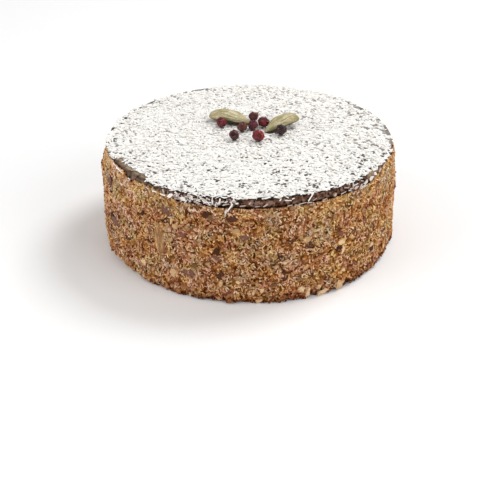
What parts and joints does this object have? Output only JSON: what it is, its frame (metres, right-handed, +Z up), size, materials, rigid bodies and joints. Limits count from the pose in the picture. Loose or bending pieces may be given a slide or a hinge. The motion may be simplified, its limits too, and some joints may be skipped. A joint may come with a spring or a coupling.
{
  "type": "fruit cake",
  "caption": "Round uncut fruit and nut cake with a dark icing slab, a coconut covering, and dried berries and green seeds laid on top.",
  "frame": {"origin": "centre of the flat underside, on the surface that the cake stands on", "axes": "+Z up through the middle of the cake, -Y towards the front, +X to the right seen from the front"},
  "size_m": [0.1218, 0.1201, 0.0498],
  "materials": {
    "crumb": "rough golden-brown pressed crumb of chopped nuts, cereal and dried fruit",
    "icing_coconut": "white desiccated coconut on a dark brown icing slab",
    "berry": "dark red, wrinkled and slightly glossy dried skin",
    "seed": "pale olive green, ribbed and satin"
  },
  "bodies": {
    "root": {"crumb_body": "crumb", "icing_with_coconut": "icing_coconut", "berry_1": "berry", "berry_2": "berry", "berry_3": "berry", "berry_4": "berry", "berry_5": "berry", "berry_6": "berry", "berry_7": "berry", "berry_8": "berry", "seed_left": "seed", "seed_right": "seed"}
  },
  "joints": []
}
